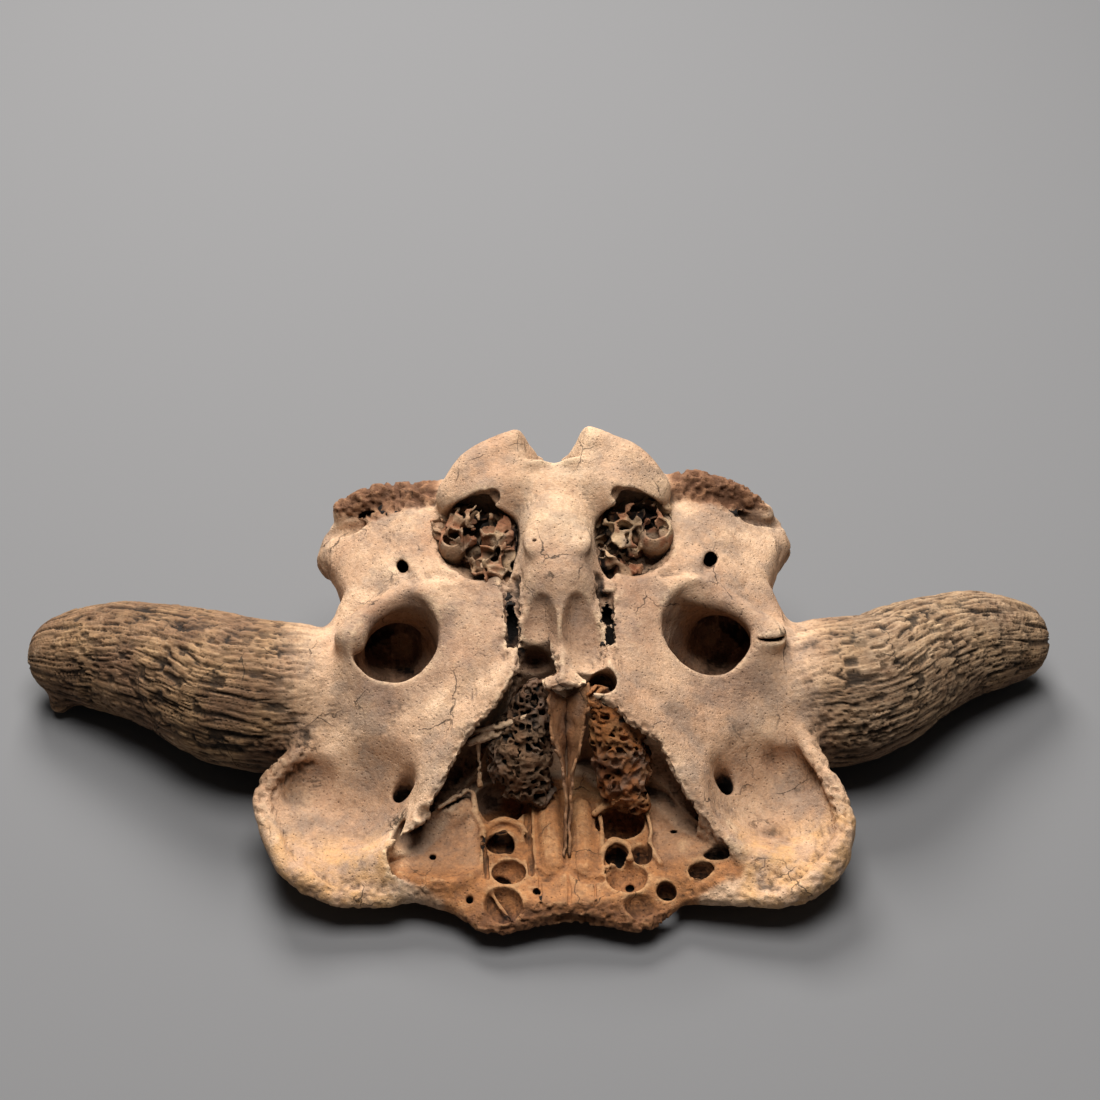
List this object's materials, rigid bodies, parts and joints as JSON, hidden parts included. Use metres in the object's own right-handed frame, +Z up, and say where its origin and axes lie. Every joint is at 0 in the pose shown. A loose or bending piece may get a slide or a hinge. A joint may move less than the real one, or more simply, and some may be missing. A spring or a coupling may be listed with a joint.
{
  "type": "weathered bison (buffalo) cranium without face or lower jaw",
  "caption": "Weathered buffalo cranium with bare horn cores and a broken-open nose, lying upside down on its forehead and horn cores.",
  "frame": {"origin": "on the flat of the forehead that the skull rests on, near the middle of its box seen from above", "axes": "+X is the skull's width from one horn core to the other, +Y runs from the broken nose end to the occipital condyles, +Z goes up from the forehead to the skull base"},
  "size_m": [0.6036, 0.2662, 0.169],
  "materials": {
    "weathered_bone": "dry weathered bone, matt, tan with ochre and grey stains"
  },
  "bodies": {
    "root": {"skull": "weathered_bone"}
  },
  "joints": []
}
